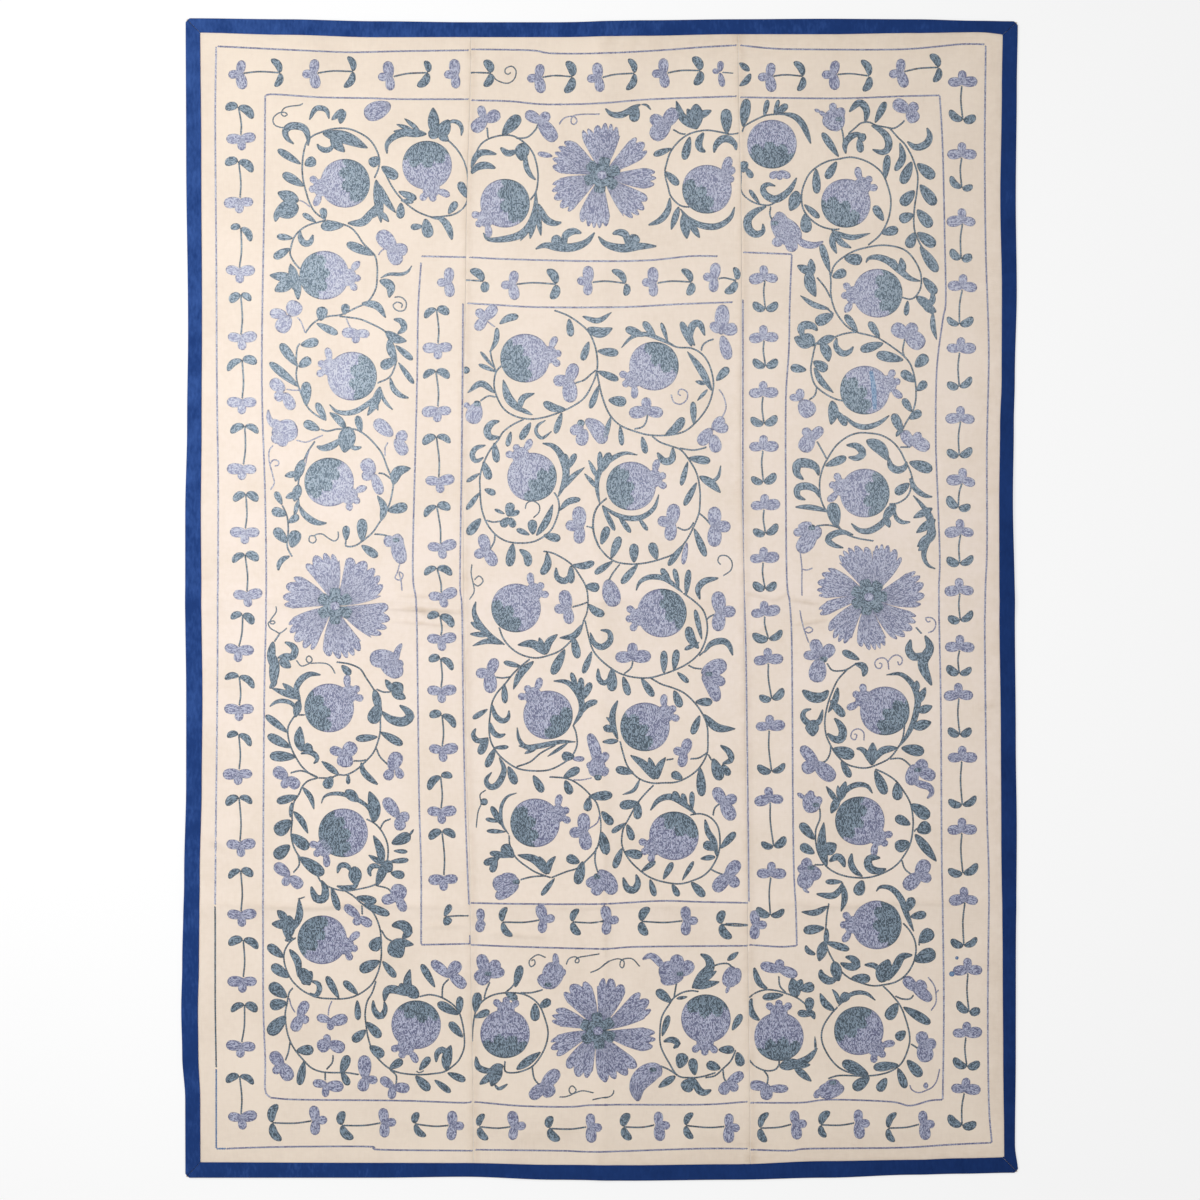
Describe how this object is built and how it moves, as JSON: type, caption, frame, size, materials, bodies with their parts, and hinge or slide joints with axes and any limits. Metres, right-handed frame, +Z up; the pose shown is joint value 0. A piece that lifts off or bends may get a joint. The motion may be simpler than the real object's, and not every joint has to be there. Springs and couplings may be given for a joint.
{
  "type": "suzani embroidered textile",
  "caption": "Rectangular embroidered cotton throw of seamed ground panels with a folded binding on all sides, lying flat; a bed cover or hanging.",
  "frame": {"origin": "middle of the cloth's outline, on the surface that it lies on", "axes": "+Z up out of the embroidered face, +Y along the length towards the top edge of the picture, +X across the width to the right"},
  "size_m": [1.4429, 2.0041, 0.0068],
  "materials": {
    "ground_cotton": "matt plain-woven cotton",
    "blue_cotton": "matt plain-woven cotton"
  },
  "bodies": {
    "root": {"panel_left": "ground_cotton", "panel_middle": "ground_cotton", "panel_right": "ground_cotton", "binding_left": "blue_cotton", "binding_right": "blue_cotton", "binding_bottom": "blue_cotton", "binding_top": "blue_cotton"}
  },
  "joints": []
}
